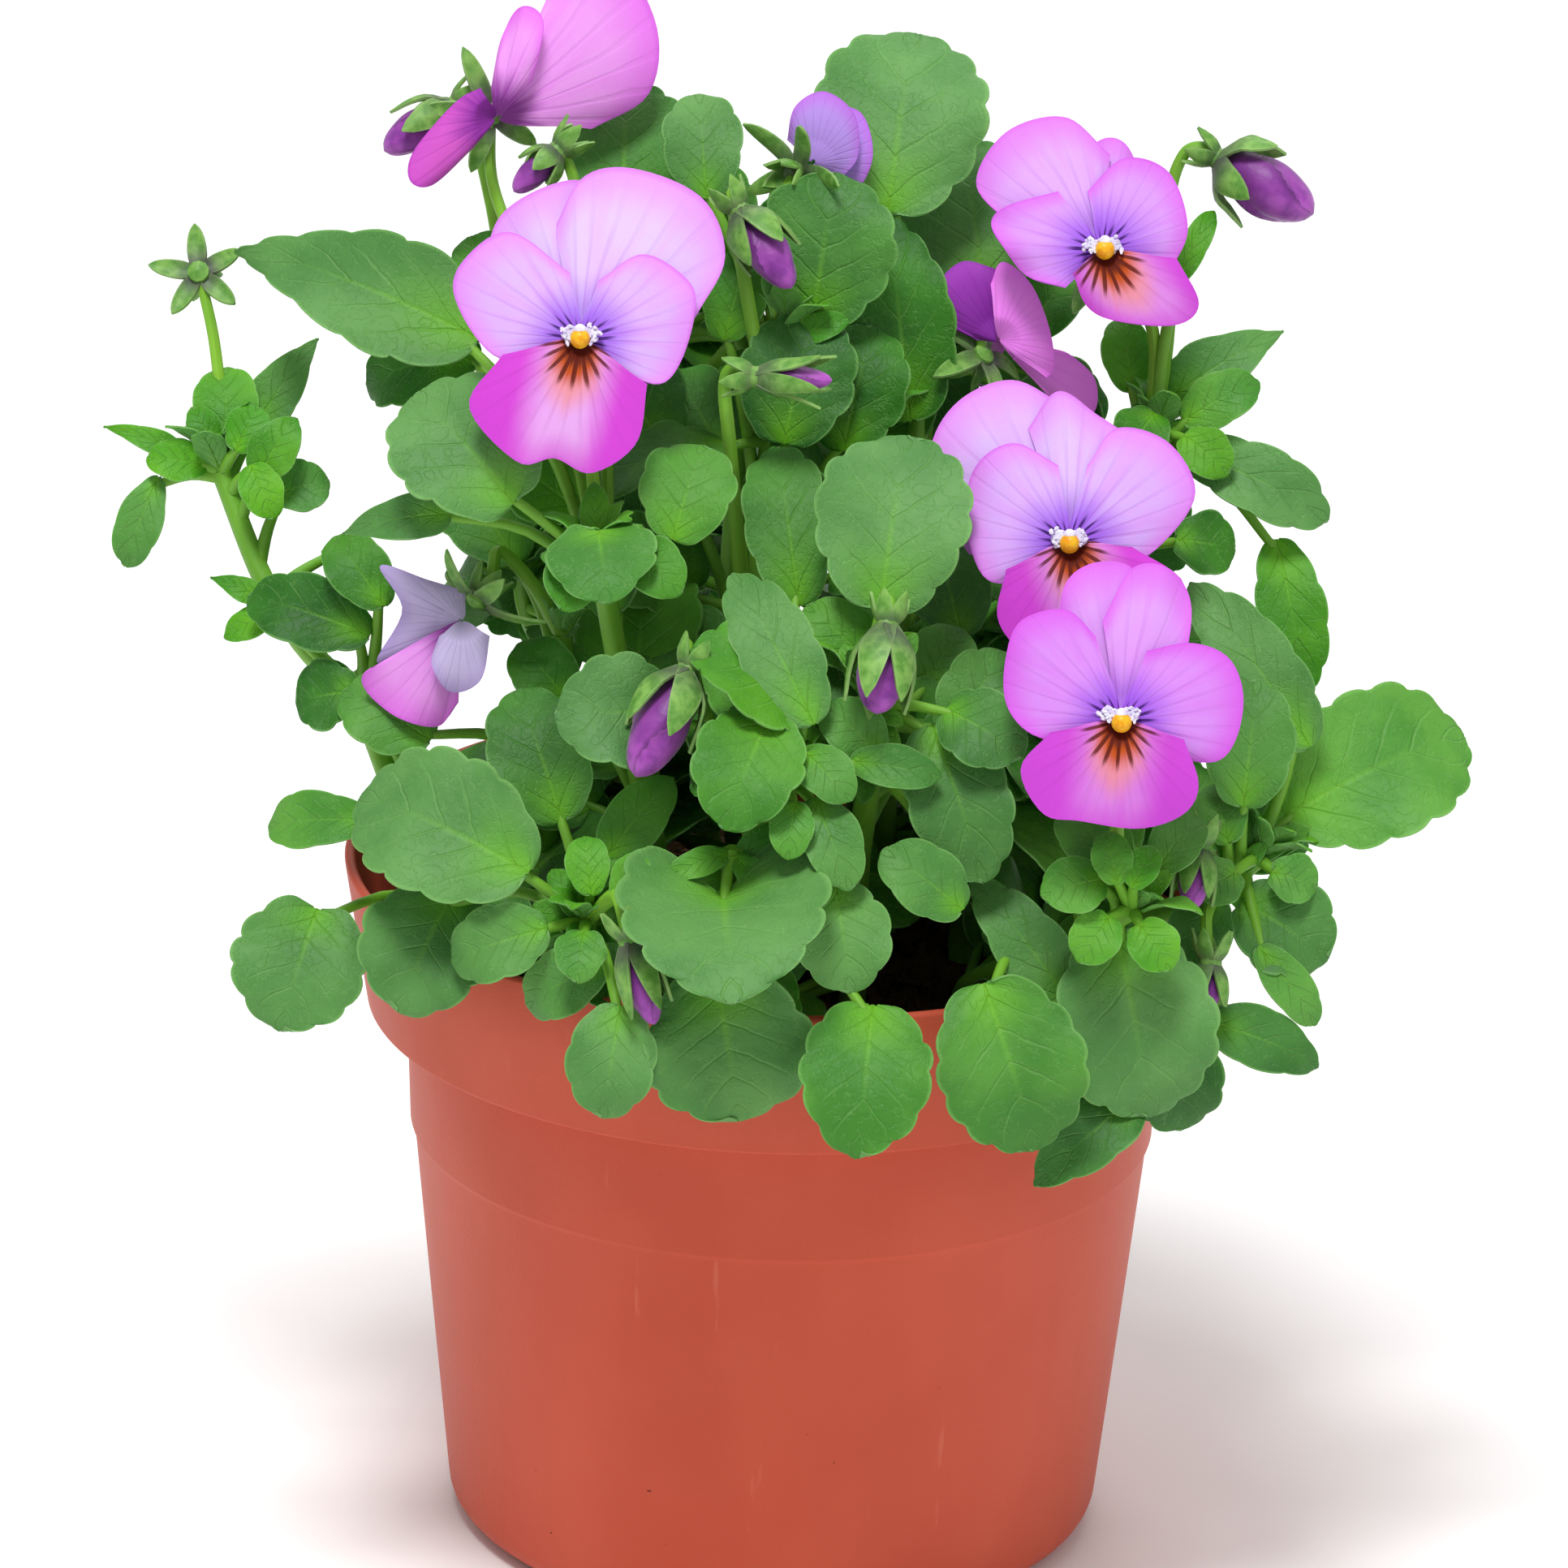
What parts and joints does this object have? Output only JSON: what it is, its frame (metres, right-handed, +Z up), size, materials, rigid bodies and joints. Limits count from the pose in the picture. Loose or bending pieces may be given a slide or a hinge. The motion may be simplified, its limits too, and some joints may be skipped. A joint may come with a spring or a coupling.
{
  "type": "potted pansy planter",
  "caption": "Bushy pansy plant in flower, with toothed leaves, buds and five-petalled blooms, growing from compost in a tapered plastic nursery pot with a rim band.",
  "frame": {"origin": "middle of the pot's flat base, on the surface it stands on", "axes": "+Z up along the pot's axis, -Y towards the side where most of the blooms face, +X to the right of that side"},
  "size_m": [0.1826, 0.1428, 0.2123],
  "materials": {
    "pot_plastic": "terracotta-coloured moulded plastic, satin",
    "peat": "dark crumbly peat compost, matt",
    "leaf_green": "soft green leaf and stem, satin",
    "petal_pink": "velvety pink-lilac petal with a yellow eye",
    "petal_purple": "velvety purple folded petal"
  },
  "bodies": {
    "root": {"pot": "pot_plastic", "soil": "peat", "stem_left_far": "leaf_green", "stem_left_mid": "leaf_green", "stem_left_low": "leaf_green", "stem_left_back": "leaf_green", "stem_mid_front": "leaf_green", "stem_mid_low": "leaf_green", "stem_mid_right": "leaf_green", "stem_mid_back": "leaf_green", "stem_right_back": "leaf_green", "stem_right_top": "leaf_green", "stem_right_low": "leaf_green", "stem_right_far": "leaf_green", "stem_back_east": "leaf_green", "stem_back_north_east": "leaf_green", "stem_back_north": "leaf_green", "stem_back_north_west": "leaf_green", "stem_back_west": "leaf_green", "stem_back_high_east": "leaf_green", "stem_back_high_west": "leaf_green", "bloom_top_left": "petal_pink", "bloom_left": "petal_pink", "bloom_right_top": "petal_pink", "bloom_right": "petal_pink", "bloom_front": "petal_pink", "bloom_profile": "petal_pink", "bloom_half_open": "petal_pink", "bloom_wilted": "petal_pink", "bloom_back_east": "petal_pink", "bloom_back_west": "petal_pink", "bud_top_left": "petal_purple", "bud_left_dark": "petal_purple", "bud_mid_top": "petal_purple", "bud_mid": "petal_purple", "bud_right_top": "petal_purple", "bud_front": "petal_purple", "bud_front_right": "petal_purple", "bud_low_left": "petal_purple", "bud_low_right": "petal_purple", "bud_small": "petal_purple"}
  },
  "joints": []
}
